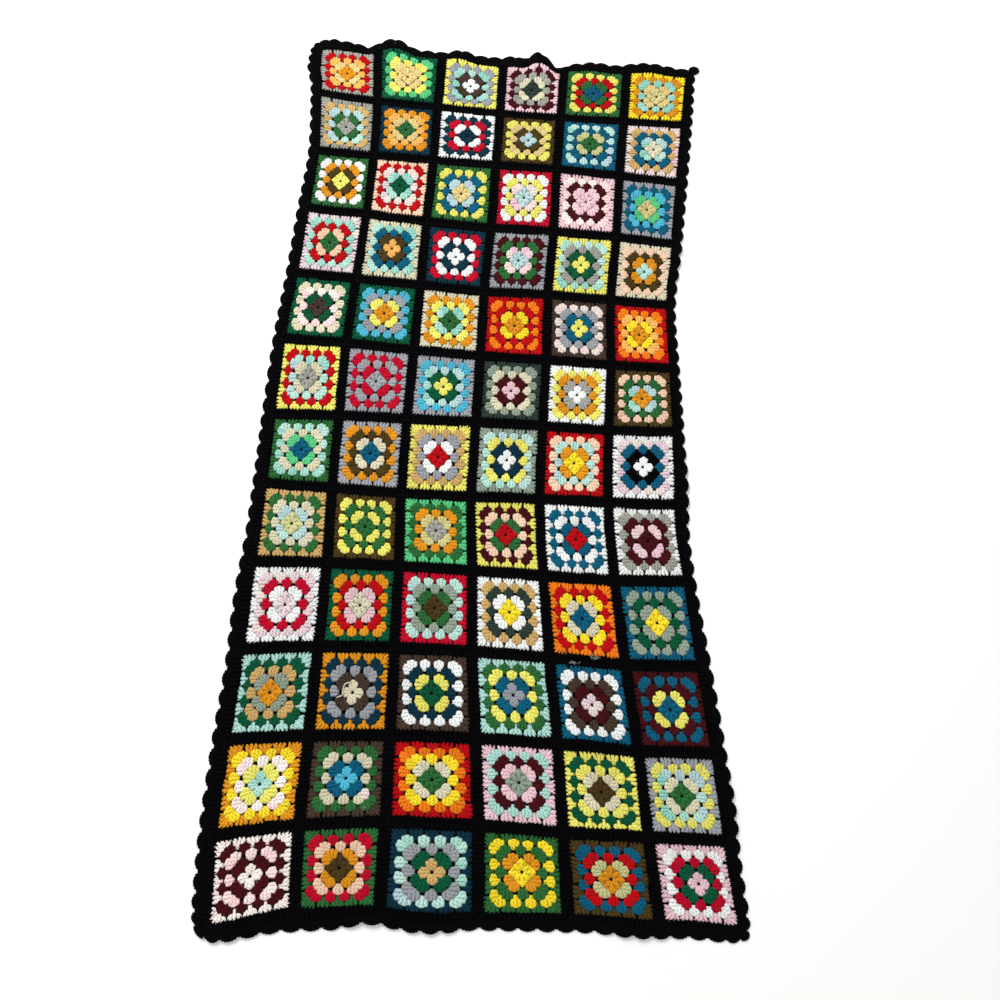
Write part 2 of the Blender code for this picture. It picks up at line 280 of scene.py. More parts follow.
# Squares from the far left corner, one word a square: the yarns of its rounds from the centre out
SQUARES = (
    "OHqRg HHYED WzALY ScgUP TGRYG tHAOy",
    "gGAog GHqON NWXNW AZHYZ GkTAT cATop",
    "YZOWG DApRh HATYG ApYWX PpUwP tEJTL",
    "GCRAp qZTAc WNWXN ApGUL YDgAY AOZhc",
    "zDwcD OYLJD GAYOc OyRQR YTLpz OyqQR",
    "gcARY LXLXL YDAJL PUcVS WgOYW OAGhZ",
    "TEcAG TcZOL RWLoY WNYAV yOAhR WKTpW",
    "kAcGo GYGYZ gtOGE RGhUY RTWTW UpUgW",
    "pWXpW cPROD ZGVAX yWSoW TcyRQ yVDVT",
    "OVoDM czLNO DYNWz LTYGM pUzWT TYUTU",
    "AYwyO JTcGz GcyQR VPUMP ZcYDY GcAYL",
    "wUwUw ZOhXG oDLAN yOGyG OkRTZ PDXWP",
)

# Squares marked x have a first round of four clear petals; in the others it closes to a diamond
PETALLED = (
    "..x...",
    "...x..",
    "......",
    ".xx.xx",
    "....x.",
    "..xxx.",
    "...x.x",
    "......",
    "......",
    ".x.xx.",
    "xx....",
    "x.x..x",
)

# Worsted acrylic yarns: a letter, a name, and the colours that one strand runs through
YARNS = {
    "W": ("white", "eaedea"),
    "w": ("blush_mix", "f8ece2", "f8f0ea", "edc7c6"),
    "K": ("black", "020204"),
    "N": ("navy", "052e3e"),
    "S": ("slate_green", "2a3931"),
    "T": ("teal_blue", "055975"),
    "J": ("sky_blue", "4eb1ca"),
    "A": ("aqua_mix", "91d1c1", "b9dfd0", "a6bec5"),
    "M": ("mint", "a8d3c9"),
    "G": ("green", "2a6532"),
    "D": ("bottle_green", "025234"),
    "E": ("bright_green", "57c07d"),
    "V": ("sage", "8c9a8a"),
    "g": ("grey", "9d9d94"),
    "L": ("lilac_grey", "979a9f"),
    "Y": ("yellow", "e4de68"),
    "y": ("golden_yellow", "f0d52c"),
    "C": ("cream_yellow", "f1c8a8"),
    "c": ("cream", "d4ceb0"),
    "O": ("orange", "d88f1c"),
    "Q": ("deep_orange", "e87814"),
    "q": ("apricot", "eeb25c"),
    "o": ("tan_orange", "c8a567"),
    "P": ("pink", "e2bec5"),
    "p": ("pale_pink_mix", "e2cbd5", "e7dacd", "dfb6c5"),
    "H": ("peach", "dcc584"),
    "h": ("pale_peach", "ecc8ac"),
    "R": ("red", "b5040d"),
    "X": ("crimson", "ba0428"),
    "U": ("maroon", "42080f"),
    "Z": ("brown", "473716"),
    "z": ("taupe", "43342a"),
    "k": ("khaki", "c5c58d"),
    "t": ("tan", "ccc382"),
}
BLACK = "K"


LETTERS = "".join(YARNS)

# A cluster worked in another yarn: the row and column of its square, the cluster and its yarn
ODD_ROW = 10
ODD_COLUMN = 1
ODD_CLUSTER = 17
ODD_YARN = "p"

# A loose tail of yarn that curls on a square: its row and column, its yarn and its path from the
# square's middle, in mm
TAIL_ROW = 9
TAIL_COLUMN = 1
TAIL_YARN = "c"
TAIL = (
    (-4, 13), (-10, 12), (-15, 10), (-17, 6), (-18, 1),
    (-17, -4), (-18, -7), (-21, -9), (-25, -10), (-29, -12),
)
TAIL_LEVEL = 6.0
TAIL_HALF_WIDTH = 1.1

# Lint that clings to the black: its strip, its middle and half its spread on the cloth in mm, how
# many fibres, their colour and half their length
LINT = (
    (8, (606, -1265), (9, 1.2), 10, "g", 3.0),
    (8, (644, -1253), (6, 3.5), 14, "g", 3.0),
    (10, (244, -1518), (3, 2.2), 5, "g", 1.5),
)
LINT_LEVEL = 5.9
LINT_HALF_WIDTH = 0.3
LINT_POINTS = 4
LINT_TURN = 0.7
LINT_BEND = 0.7
LINT_SHADE = 0.8


def hex_to_linear(colour):
    """The linear red, green, blue and alpha of an sRGB hex colour."""
    srgb = np.array([int(colour[i : i + 2], 16) / 255 for i in (0, 2, 4)])
    linear = np.where(srgb <= 0.04045, srgb / 12.92, ((srgb + 0.055) / 1.055) ** 2.4)
    return (*linear.tolist(), 1.0)


def along_strips(name, v):
    """A column of the table at v, on a smooth cubic through the lines' values, in mm."""
    values = np.array([float(line[LINE_COLUMNS.index(name)]) for line in LINES])
    padded = np.concatenate(([2 * values[0] - values[1]], values, [2 * values[-1] - values[-2]]))
    start = np.clip(np.floor(v).astype(int), 0, ROWS - 1)
    t = v - start
    before, here, there, after = (padded[start + k] for k in range(4))
    slope_here = (there - before) / 2
    slope_there = (after - here) / 2
    return (
        here * (1 + 2 * t) * (1 - t) ** 2
        + slope_here * t * (1 - t) ** 2
        + there * t**2 * (3 - 2 * t)
        - slope_there * t**2 * (1 - t)
    )


def pulled(points):
    """Points of the flat cloth (A, B, height in mm) with the pull of the crossings round each.

    The pull is linear in A and in B between the four crossings, and grows evenly from nothing at
    the rim to its whole size a margin inside it.
    """
    u = np.clip(points[..., 0] / PITCH, 0, COLUMNS)
    v = np.clip(-points[..., 1] / PITCH, 0, ROWS)
    column = np.minimum(u.astype(int), COLUMNS - 1)
    row = np.minimum(v.astype(int), ROWS - 1)
    s = (u - column)[..., None]
    t = (v - row)[..., None]
    pulls = np.array(PULLS, float)
    far = (1 - s) * pulls[row, column] + s * pulls[row, column + 1]
    near = (1 - s) * pulls[row + 1, column] + s * pulls[row + 1, column + 1]
    inside = np.minimum(np.minimum(u, COLUMNS - u), np.minimum(v, ROWS - v)) * PITCH
    share = np.clip(inside / PULL_MARGIN, 0, 1)[..., None]
    moved = points.copy()
    moved[..., :2] += share * ((1 - t) * far + t * near)
    return moved


def lay_on_cloth(flat_points):
    """Points of the flat cloth (A, B, height in mm) to where they lie, in metres.

    The points are pulled first. u and v are A and -B in squares. x runs from the left line to the
    right one and bows through the middle one, y leaves the middle line towards either end, and each
    pucker adds a bump of cos^2 across it times (1 - depth / reach)^2 into the cloth.
    """
    points = pulled(flat_points)
    u = points[..., 0] / PITCH
    v = -points[..., 1] / PITCH
    t = u / COLUMNS
    left = along_strips("x_left", v)
    right = along_strips("x_right", v)
    bow = along_strips("x_middle", v) - (left + right) / 2
    x = (1 - t) * left + t * right + 4 * t * (1 - t) * bow
    middle = along_strips("y_middle", v)
    y = middle
    y = y + (along_strips("y_left", v) - middle) * np.clip(1 - 2 * t, 0, 1) ** 3
    y = y + (along_strips("y_right", v) - middle) * np.clip(2 * t - 1, 0, 1) ** 3
    z = points[..., 2].copy()
    inwards = {"far": v, "near": ROWS - v, "left": u, "right": COLUMNS - u}
    for edge, along, half_width, reach, out, lift in PUCKERS:
        position = u if edge in ("far", "near") else v
        across = np.clip(np.abs(position - along) / half_width, 0, 1)
        bump = np.cos(across * math.pi / 2) ** 2 * np.clip(1 - inwards[edge] / reach, 0, 1) ** 2
        x = x + OUTWARDS[edge][0] * out * bump
        y = y + OUTWARDS[edge][1] * out * bump
        z = z + lift * bump
    return np.stack([x, y, z], axis=-1) * MM


def unit(vectors):
    """Vectors of length one in the directions of those given."""
    return vectors / np.linalg.norm(vectors, axis=-1, keepdims=True)


def tubes(path, half_width, half_height, sides, tone, yarn):
    """Closed tubes of yarn, one for each path.

    Round each point of a path stands an ellipse: half_width times the cosine of the turn to its
    right, and half_height times the sine of the turn upwards. The turns are even, a flat of the
    ring lies underneath, and no point goes below the clearance over the surface. path is tubes x
    rings x (A, B, height); the widths and heights are tubes x rings; tone and yarn one a tube.
    """
    count = len(path)
    heading = unit(np.gradient(path[..., :2], axis=1))
    right = np.stack([heading[..., 1], -heading[..., 0]], axis=-1)
    turn = -math.pi / 2 + (math.pi / sides if sides % 2 else 0) + 2 * math.pi * np.arange(sides) / sides
    flat = path[:, :, None, :2] + (half_width[..., None] * np.cos(turn))[..., None] * right[:, :, None]
    height = path[:, :, None, 2] + half_height[..., None] * np.sin(turn)
    height = np.maximum(height, SURFACE_CLEARANCE)
    points = np.concatenate([flat, height[..., None]], axis=-1)
    steps = np.linalg.norm(np.diff(path, axis=1), axis=-1)
    along = np.concatenate([np.zeros((count, 1)), np.cumsum(steps, axis=1)], axis=1)
    girth = math.pi * (half_width + half_height)
    return {
        "points": points,
        "along": along,
        "girth": girth,
        "tone": np.broadcast_to(tone, (count,)),
        "yarn": np.broadcast_to(yarn, (count,)),
    }


def joined(parts):
    """Tubes of the same rings and sides, one after another."""
    return {key: np.concatenate([part[key] for part in parts]) for key in parts[0]}


def tube_mesh(batch, first_point, first_cell, cell_columns, cell_rows):
    """Faces, yarns, and the two maps of a batch of tubes.

    The sides are quads from ring to ring and the ends are flat. The yarn map gives mm along and
    mm round the tube. The second map gives each tube a cell of its own, its sides unrolled below
    and its two ends above them, for carrying the finish to a picture.
    """
    count, rings, sides, _ = batch["points"].shape
    tube = np.arange(count)[:, None, None]
    ring = np.arange(rings - 1)[None, :, None]
    side = np.arange(sides)[None, None, :]
    place = first_point + (tube * rings + ring) * sides
    after = (side + 1) % sides
    quads = np.stack([place + side, place + sides + side, place + sides + after, place + after], axis=-1)
    ends = np.arange(sides)
    base = first_point + np.arange(count)[:, None] * rings * sides
    start_caps = base + ends
    end_caps = base + (rings - 1) * sides + ends[::-1]

    round_of = (np.arange(sides + 1) - sides / 2) / sides
    phase = (np.arange(count) * 0.618034 % 1) * 20
    along = batch["along"] + phase[:, None]
    mm_along = np.broadcast_to(along[:, :, None], (count, rings, sides + 1))
    mm_round = batch["girth"][:, :, None] * round_of
    yarn_map = np.stack([mm_along, mm_round], axis=-1)

    cell = first_cell + np.arange(count)
    corner = np.stack([cell % cell_columns, cell // cell_columns], axis=-1).astype(float)
    shares = np.stack(
        np.broadcast_arrays(
            0.08 + 0.84 * np.arange(sides + 1)[None, :] / sides,
            0.08 + 0.62 * np.arange(rings)[:, None] / (rings - 1),
        ),
        axis=-1,
    )
    size = np.array([cell_columns, cell_rows], float)
    cell_map = (corner[:, None, None] + shares) / size

    def quad_corners(grid):
        return np.stack([grid[:, :-1, :-1], grid[:, 1:, :-1], grid[:, 1:, 1:], grid[:, :-1, 1:]], axis=3)

    turn = 2 * math.pi * ends / sides
    disc = np.stack([np.cos(turn), np.sin(turn)], axis=-1)
    start_yarn = yarn_map[:, :1, sides // 2] + disc * 1.2
    end_yarn = yarn_map[:, -1:, sides // 2] + disc[::-1] * 1.2
    start_cell = (corner[:, None] + np.array([0.27, 0.86]) + disc * np.array([0.17, 0.085])) / size
    end_cell = (corner[:, None] + np.array([0.73, 0.86]) + disc[::-1] * np.array([0.17, 0.085])) / size
    faces = quads.reshape(-1, 4).tolist() + start_caps.tolist() + end_caps.tolist()
    quad_yarns = np.repeat(batch["yarn"], (rings - 1) * sides)
    yarns = np.concatenate([quad_yarns, batch["yarn"], batch["yarn"]])
    yarn_loops = (quad_corners(yarn_map), start_yarn, end_yarn)
    cell_loops = (quad_corners(cell_map), start_cell, end_cell)
    yarn_loops, cell_loops = (
        np.concatenate([corners.reshape(-1, 2) for corners in loops])
        for loops in (yarn_loops, cell_loops)
    )
    return faces, yarns, yarn_loops, cell_loops


# The black sheet of painted shade that darkens the holes between the stitches
def shade_sheet_mesh(a_range, b_range, cells_a, cells_b):
    """A thin closed sheet of points on an even grid, in mm: its points and faces."""
    a = np.linspace(*a_range, cells_a + 1)
    b = np.linspace(*b_range, cells_b + 1)
    grid_a, grid_b = np.meshgrid(a, b)
    top = np.stack([grid_a, grid_b, np.full_like(grid_a, SHADE_SHEET_TOP)], axis=-1).reshape(-1, 3)
    bottom = top.copy()
    bottom[:, 2] = SHADE_SHEET_BOTTOM
    wide = cells_a + 1
    count = len(top)
    first = (np.arange(cells_b)[:, None] * wide + np.arange(cells_a)).reshape(-1)
    over = np.stack([first, first + 1, first + wide + 1, first + wide], axis=-1)
    if b_range[1] < b_range[0]:
        over = over[:, ::-1]
    under = count + over[:, ::-1]
    index = np.arange(count).reshape(cells_b + 1, wide)
    rim = np.concatenate([index[0], index[1:, -1], index[-1, -2::-1], index[-2:0:-1, 0]])
    if b_range[1] < b_range[0]:
        rim = rim[::-1]
    after = np.roll(rim, -1)
    walls = np.stack([rim, count + rim, count + after, after], axis=-1)
    return np.concatenate([top, bottom]), np.concatenate([over, under, walls])


def make_mesh(name, points, faces, yarns, tones, yarn_loops, cell_loops):
    """A mesh object at the origin, with a material for each yarn that it uses."""
    mesh = bpy.data.meshes.new(name)
    mesh.from_pydata(points.tolist(), [], faces)
    yarn_map = mesh.uv_layers.new(name="yarn_mm")
    yarn_map.data.foreach_set("uv", yarn_loops.astype(np.float32).ravel())
    cell_map = mesh.uv_layers.new(name="OFBake")
    cell_map.data.foreach_set("uv", cell_loops.astype(np.float32).ravel())
    mesh.uv_layers["yarn_mm"].active = True
    mesh.uv_layers["yarn_mm"].active_render = True
    tone = mesh.attributes.new("stitch_tone", "FLOAT", "POINT")
    tone.data.foreach_set("value", tones.astype(np.float32))
    used = sorted(set(yarns.tolist()))
    for index in used:
        mesh.materials.append(yarn_material(LETTERS[index]))
    slots = np.searchsorted(used, yarns)
    mesh.polygons.foreach_set("material_index", slots.astype(np.int32))
    mesh.polygons.foreach_set("use_smooth", np.ones(len(faces), bool))
    mesh.validate()
    mesh.update()
    thing = bpy.data.objects.new(name, mesh)
    bpy.context.scene.collection.objects.link(thing)
    return thing


def yarn_piece(name, batches, shade_sheet=None):
    """One object made of batches of tubes, and of a black sheet of painted shade if there is one."""
    cells = sum(len(batch["points"]) for batch in batches) + (shade_sheet is not None)
    cell_columns = math.ceil(math.sqrt(cells * 2.0))
    cell_rows = math.ceil(cells / cell_columns) + (8 if shade_sheet is not None else 0)
    points = []
    faces = []
    yarns = []
    tones = []
    yarn_loops = []
    cell_loops = []
    first_point = 0
    first_cell = 0
    for batch in batches:
        count, rings, sides, _ = batch["points"].shape
        new_faces, new_yarns, new_yarn_loops, new_cell_loops = tube_mesh(
            batch, first_point, first_cell, cell_columns, cell_rows
        )
        points.append(lay_on_cloth(batch["points"]).reshape(-1, 3))
        faces += new_faces
        yarns.append(new_yarns)
        tones.append(np.repeat(batch["tone"], rings * sides))
        yarn_loops.append(new_yarn_loops)
        cell_loops.append(new_cell_loops)
        first_point += count * rings * sides
        first_cell += count
    # The black sheet of painted shade under the stitches
    if shade_sheet is not None:
        shade_sheet_points, shade_sheet_faces = shade_sheet
        faces += (first_point + shade_sheet_faces).tolist()
        points.append(lay_on_cloth(shade_sheet_points))
        tones.append(np.full(len(shade_sheet_points), PLAIN_SHADE))
        yarns.append(np.full(len(shade_sheet_faces), LETTERS.index(BLACK)))
        corners = shade_sheet_points[shade_sheet_faces]
        yarn_loops.append(corners[..., :2].reshape(-1, 2))
        low = shade_sheet_points.min(axis=0)
        high = shade_sheet_points.max(axis=0)
        spread = (corners[..., :2] - low[:2]) / (high - low)[:2]
        layer = (corners[..., 2].mean(axis=1) > (low[2] + high[2]) / 2).astype(float)[:, None]
        lowest = 1 - 7.5 / cell_rows
        across = 0.01 + 0.48 * spread[..., 0] + 0.5 * layer
        upwards = lowest + 6.5 / cell_rows * spread[..., 1]
        cell_loops.append(np.stack([across, upwards], axis=-1).reshape(-1, 2))
    return make_mesh(
        name,
        np.concatenate(points),
        faces,
        np.concatenate(yarns),
        np.concatenate(tones),
        np.concatenate(yarn_loops),
        np.concatenate(cell_loops),
    )


def add_node(tree, kind, inputs=None, **settings):
    """Adds a node with its settings, and sets or links its inputs."""
    node = tree.nodes.new(kind)
    for key, value in settings.items():
        setattr(node, key, value)
    for key, value in (inputs or {}).items():
        if isinstance(value, bpy.types.NodeSocket):
            tree.links.new(value, node.inputs[key])
        else:
            node.inputs[key].default_value = value
    return node


# Worsted yarn: the period in mm, the angle to the yarn and the share of each set of ridges. The
# first two are a stitch's strands, which cross each other, and the last is the plies of a strand.
TWISTS = ((4.6, 42, 0.9), (4.0, -46, 0.7), (1.3, -52, 0.3))
FIBRE_GRAIN = 0.45
WAVE_PERIOD = 2 * math.pi / 20
YARN_MATERIALS = {}


def yarn_material(letter):
    """Worsted acrylic yarn, spun and plied: it looks soft and matt, with diagonal plies.

    Ridges and fibres are added up to one relief. It lifts the surface, and it paints shade into the
    yarn's colour in its hollows and a little painted light on its ridges. The shade runs through the
    yarn's colours with each stitch's tone.
    """
    if letter in YARN_MATERIALS:
        return YARN_MATERIALS[letter]
    name, *colours = YARNS[letter]
    material = bpy.data.materials.new("worsted_acrylic_" + name)
    material.use_nodes = True
    tree = material.node_tree
    shader = tree.nodes["Principled BSDF"]
    yarn_map = add_node(tree, "ShaderNodeUVMap", uv_map="yarn_mm").outputs["UV"]
    dark = letter == BLACK

    def twist(period, angle):
        """Even ridges a period apart, at an angle to the yarn."""
        turned = add_node(
            tree,
            "ShaderNodeMapping",
            {"Vector": yarn_map, "Rotation": (0, 0, math.radians(angle))},
        )
        wave = add_node(
            tree,
            "ShaderNodeTexWave",
            {"Vector": turned.outputs["Vector"], "Scale": WAVE_PERIOD / period},
            bands_direction="X",
        )
        return wave.outputs["Fac"]

    relief = add_node(
        tree,
        "ShaderNodeTexNoise",
        {"Vector": yarn_map, "Scale": 1 / FIBRE_GRAIN, "Detail": 2.0, "Roughness": 0.6},
    ).outputs["Fac"]
    for period, angle, share in TWISTS:
        ridges = twist(period, angle)
        terms = {0: ridges, 1: share, 2: relief}
        relief = add_node(tree, "ShaderNodeMath", terms, operation="MULTIPLY_ADD").outputs[0]
    bump = add_node(
        tree,
        "ShaderNodeBump",
        {"Height": relief, "Strength": 0.7, "Distance": 0.5 * MM},
    )
    tree.links.new(bump.outputs["Normal"], shader.inputs["Normal"])
    if dark:
        shader.inputs["Base Color"].default_value = hex_to_linear(colours[0])
        shader.inputs["Sheen Weight"].default_value = 0.0
    else:
        tone = add_node(tree, "ShaderNodeAttribute", attribute_name="stitch_tone").outputs["Fac"]
        ramp = add_node(tree, "ShaderNodeValToRGB", {"Fac": tone})
        stops = ramp.color_ramp.elements
        while len(stops) < len(colours):
            stops.new(0.5)
        for index, colour in enumerate(colours):
            stops[index].position = index / max(len(colours) - 1, 1)
            stops[index].color = hex_to_linear(colour)
        if len(colours) == 1:
            stops[1].color = hex_to_linear(colours[0])
        # Painted shade and light: the relief darkens the yarn's colour in its hollows and lifts it a
        # little on its ridges
        depth = add_node(
            tree,
            "ShaderNodeMapRange",
            {"Value": relief, "From Min": 0.6, "From Max": 1.5, "To Min": 0.45, "To Max": 1.08},
        )
        lightness = add_node(
            tree,
            "ShaderNodeMapRange",
            {"Value": tone, "To Min": 0.9, "To Max": 1.08},
        )
        shade = add_node(
            tree,
            "ShaderNodeMath",
            {0: depth.outputs["Result"], 1: lightness.outputs["Result"]},
            operation="MULTIPLY",
        )
        shaded = add_node(
            tree,
            "ShaderNodeVectorMath",
            {0: ramp.outputs["Color"], "Scale": shade.outputs[0]},
            operation="SCALE",
        )
        tree.links.new(shaded.outputs["Vector"], shader.inputs["Base Color"])
        shader.inputs["Sheen Weight"].default_value = 0.02
    shader.inputs["Sheen Roughness"].default_value = 0.5
    shader.inputs["Roughness"].default_value = 0.92
    shader.inputs["Specular IOR Level"].default_value = 0.06 if dark else 0.1
    YARN_MATERIALS[letter] = material
    return material


def quarter_turns(vectors):
    """Vectors of the far side, and the same turned to the right, near and left sides."""
    turned = [vectors]
    for _ in range(3):
        last = turned[-1]
        turned.append(np.stack([last[..., 1], -last[..., 0]], axis=-1))
    return np.concatenate(turned)


def cluster_middles(clusters):
    """How far along a side each cluster's middle stands, and how far it leans outwards at its head."""
    order = np.arange(clusters) - (clusters - 1) / 2
    at_corner = (np.abs(order) == (clusters - 1) / 2) & (clusters > 1)
    return order * CLUSTER_PITCH, CORNER_LEAN * np.sign(order) * at_corner


def square_posts(petalled):
    """The coloured posts of one square from foot to head, with the cluster and the side of each.

    A round of n clusters a side has them a cluster pitch apart, and those at its corners lean
    outwards. The middle line of a cluster is straight; its outer posts leave it by the round's
    spread times a bulge that closes again at the head, or for the last round by an open fan. A
    first round that is not petalled is a diamond: its middle posts stand further out, and its outer
    ones turn on towards the diagonals and end lower. Where it is petalled, the second round starts
    further in, between the petals. The last round has one post more on each diagonal.
    """
    paths = []
    cluster = []
    side = []
    first = 0
    for index, (clusters, start, end, start_spread, end_spread, drop) in enumerate(ROUNDS):
        along, lean = cluster_middles(clusters)
        opening = np.array(OUTER_FAN if index == LAST else INNER_BULGE)
        closing = 0
        if index == 0 and not petalled:
            closing = DIAMOND_CLOSING
            end += DIAMOND_TIP
            drop += DIAMOND_DROP
        if index == 1 and petalled:
            start = PETALLED_START
        for post in (-1, 0, 1):
            foot = np.stack([np.clip(along, -start, start), np.full(clusters, start)], axis=-1)
            head = np.stack([along + lean, np.full(clusters, end - abs(post) * drop)], axis=-1)
            path = foot[:, None] + (head - foot)[:, None] * POST_ALONG[:, None]
            path[..., 0] += post * (start_spread + (end_spread - start_spread) * opening + closing)
            path[..., 1] -= abs(post) * closing
            paths.append(quarter_turns(path))
            cluster.append(first + np.arange(4 * clusters))
            side.append(np.full(4 * clusters, post))
        first += 4 * clusters
    _, start, end, *_ = ROUNDS[LAST]
    diagonal = (start + (end - 1.0 - start) * POST_ALONG)[None, :, None] * np.ones(2)
    paths.append(quarter_turns(diagonal))
    cluster.append(first - 1 - np.arange(4) * ROUNDS[LAST][0])
    side.append(np.zeros(4, int))
    return np.concatenate(paths), np.concatenate(cluster), np.concatenate(side)


def square_heads(petalled):
    """The chains along the heads of one square's clusters, and the first round's corner chains.

    A head is a low arch, its drop growing as the square of the distance across. It is nearly flat in
    the last round, and reaches as far down as across at the points of a diamond.
    """
    paths = []
    across = np.array([-1.0, 0.0, 1.0])
    for index, (clusters, _, end, _, end_spread, _) in enumerate(ROUNDS):
        along, lean = cluster_middles(clusters)
        reach = end_spread + (OUTER_HEAD_OVERHANG if index == LAST else HEAD_OVERHANG)
        arch = OUTER_HEAD_ARCH if index == LAST else HEAD_ARCH
        if index == 0 and not petalled:
            reach = DIAMOND_REACH
            arch = DIAMOND_ARCH
            end += DIAMOND_TIP
        down = OUTER_HEAD_DOWN if index == LAST else HEAD_DOWN
        a = (along + lean)[:, None] + across * reach
        b = np.broadcast_to(end - down - arch * across**2, a.shape)
        paths.append(quarter_turns(np.stack([a, b], axis=-1)))
    paths.append(quarter_turns(CORNER_CHAIN * (1 if petalled else DIAMOND_CORNER)))
    return np.concatenate(paths)


def cluster_rounds():
    """The round of each cluster of a square, and of the first round's corner chains."""
    return np.repeat(np.append(np.arange(len(ROUNDS)), 0), [4 * line[0] for line in ROUNDS] + [4])


def black_stitches():
    """The black stitches of one square, side by side from the fifth round's edge out to the seam."""
    across = np.linspace(-1, 1, BLACK_STITCHES)
    foot = np.stack([across * (BITE + 3.0), np.full(BLACK_STITCHES, BITE)], axis=-1)
    head = np.stack([across * (SEAM - 2.0), np.full(BLACK_STITCHES, SEAM)], axis=-1)
    sides = foot[:, None] + (head - foot)[:, None] * BLACK_ALONG[:, None]
    corner_foot = np.array([[BITE + 1.5, BITE + 1.5]])
    corner_head = np.array([[SEAM, SEAM]])
    corner = corner_foot[:, None] + (corner_head - corner_foot)[:, None] * BLACK_ALONG[:, None]
    return np.concatenate([quarter_turns(sides), quarter_turns(corner)])


def with_height(flat, height):
    """Flat paths with a height for each of their rings."""
    return np.concatenate([flat, np.broadcast_to(height, flat.shape[:-1])[..., None]], axis=-1)


def handmade(flat, off_centre, turned):
    """A square's paths as a hand leaves them: a little off centre and turned, less so further out."""
    far_out = np.abs(flat).max(axis=-1, keepdims=True)
    inside = np.clip(1 - (far_out / 62) ** 2, 0, 1)
    quarter = np.stack([-flat[..., 1], flat[..., 0]], axis=-1)
    return flat + (off_centre + quarter * turned) * inside


def strip_squares(row):
    """The coloured stitches of one strip of six squares."""
    rng = np.random.default_rng(SEED + row)
    rounds = cluster_rounds()
    count = len(rounds)
    pulls = np.array(PULLS, float)
    posts = []
    heads = []
    for column, word in enumerate(SQUARES[row].split()):
        petalled = PETALLED[row][column] == "x"
        post_paths, post_cluster, post_side = square_posts(petalled)
        yarns = np.array([LETTERS.index(letter) for letter in word])[rounds]
        centre = np.array([(column + 0.5) * PITCH, -(row + 0.5) * PITCH])
        pull = pulls[row : row + 2, column : column + 2].mean(axis=(0, 1))
        off_centre = np.array(CENTRES[row][column]) - pull
        if (row, column) == (ODD_ROW, ODD_COLUMN):
            yarns[ODD_CLUSTER] = LETTERS.index(ODD_YARN)
        turned = rng.normal(0, SQUARE_TURN)
        size = rng.normal(1, CLUSTER_SIZE, count)
        shift = rng.normal(0, CLUSTER_SHIFT, (count, 1, 2))
        drift = np.cumsum(rng.normal(0, SHADE_DRIFT, count)) + rng.uniform(0, 2)
        tone = np.abs(drift % 2 - 1)

        paths = handmade(post_paths, off_centre, turned) + shift[post_cluster] * POST_ALONG[:, None]
        paths = paths + rng.normal(0, POST_SHIFT, (len(paths), 1, 2)) * POST_ALONG[:, None] + centre
        post_rounds = rounds[post_cluster][:, None]
        level = np.where(post_rounds == LAST, OUTER_LEVEL, POST_LEVEL)
        level = level + rng.normal(0, POST_LIFT, (len(paths), 1))
        level = level - OUTER_POST_SINK * np.abs(post_side)[:, None]
        inner_width = np.where((post_rounds == 0) & (not petalled), DIAMOND_WIDTH, POST_WIDTH)
        width = np.where(post_rounds == LAST, OUTER_WIDTH, inner_width)
        height = np.where(post_rounds == LAST, OUTER_HEIGHT, POST_HEIGHT)
        swell = (size[post_cluster] * rng.normal(1, POST_SIZE, len(paths)))[:, None]
        posts.append(
            tubes(
                with_height(paths, level),
                POST_HALF_WIDTH * width * swell,
                POST_HALF_HEIGHT * height * (1 + swell) / 2,
                POST_SIDES,
                np.clip(tone[post_cluster] + rng.normal(0, SHADE_SPREAD, len(paths)), 0, 1),
                yarns[post_cluster],
            )
        )
        paths = handmade(square_heads(petalled), off_centre, turned) + shift + centre
        level = np.where(rounds == LAST, OUTER_HEAD_LEVEL, HEAD_LEVEL)
        level[-4:] = SUNK_CHAIN_LEVEL if petalled else CHAIN_LEVEL
        width = HEAD_SHAPE * np.where((rounds == 0) & (not petalled), DIAMOND_HEAD, 1)[:, None]
        heads.append(
            tubes(
                with_height(paths, level[:, None] + HEAD_END_SINK * (HEAD_SHAPE - 1)),
                HEAD_HALF_WIDTH * width * size[:, None],
                HEAD_HALF_HEIGHT * HEAD_SHAPE * size[:, None],
                HEAD_SIDES,
                np.clip(tone + rng.normal(0, SHADE_SPREAD, count), 0, 1),
                yarns,
            )
        )
    batches = [joined(posts), joined(heads), *loose_ends(row, rng)]
    return yarn_piece(f"strip_{row + 1:02d}_squares", batches)


def loose_ends(row, rng):
    """What lies loose on a strip: the tail of yarn, and the lint as short bent fibres."""
    batches = []
    if row == TAIL_ROW:
        middle = np.array([(TAIL_COLUMN + 0.5) * PITCH, -(row + 0.5) * PITCH])
        path = with_height(np.array(TAIL)[None] + middle, TAIL_LEVEL)
        taper = np.append(np.ones(len(TAIL) - 1), 0.4)[None] * TAIL_HALF_WIDTH
        batches.append(tubes(path, taper, taper, POST_SIDES, 0.6, LETTERS.index(TAIL_YARN)))
    for strip, middle, spread, fibres, letter, half_length in LINT:
        if strip != row:
            continue
        across = np.linspace(-1, 1, LINT_POINTS)[:, None]
        turn = rng.normal(0, LINT_TURN, fibres)
        direction = np.stack([np.cos(turn), np.sin(turn)], axis=-1)
        place = np.array(middle) + rng.uniform(-1, 1, (fibres, 2)) * spread
        path = place[:, None] + direction[:, None] * across * half_length
        path = path + rng.normal(0, LINT_BEND, path.shape)
        thin = np.full((fibres, LINT_POINTS), LINT_HALF_WIDTH)
        level = LINT_LEVEL + rng.normal(0, LINT_HALF_WIDTH, (fibres, LINT_POINTS))
        fibre = with_height(path, level)
        batches.append(tubes(fibre, thin, thin, HEAD_SIDES, LINT_SHADE, LETTERS.index(letter)))
    return batches


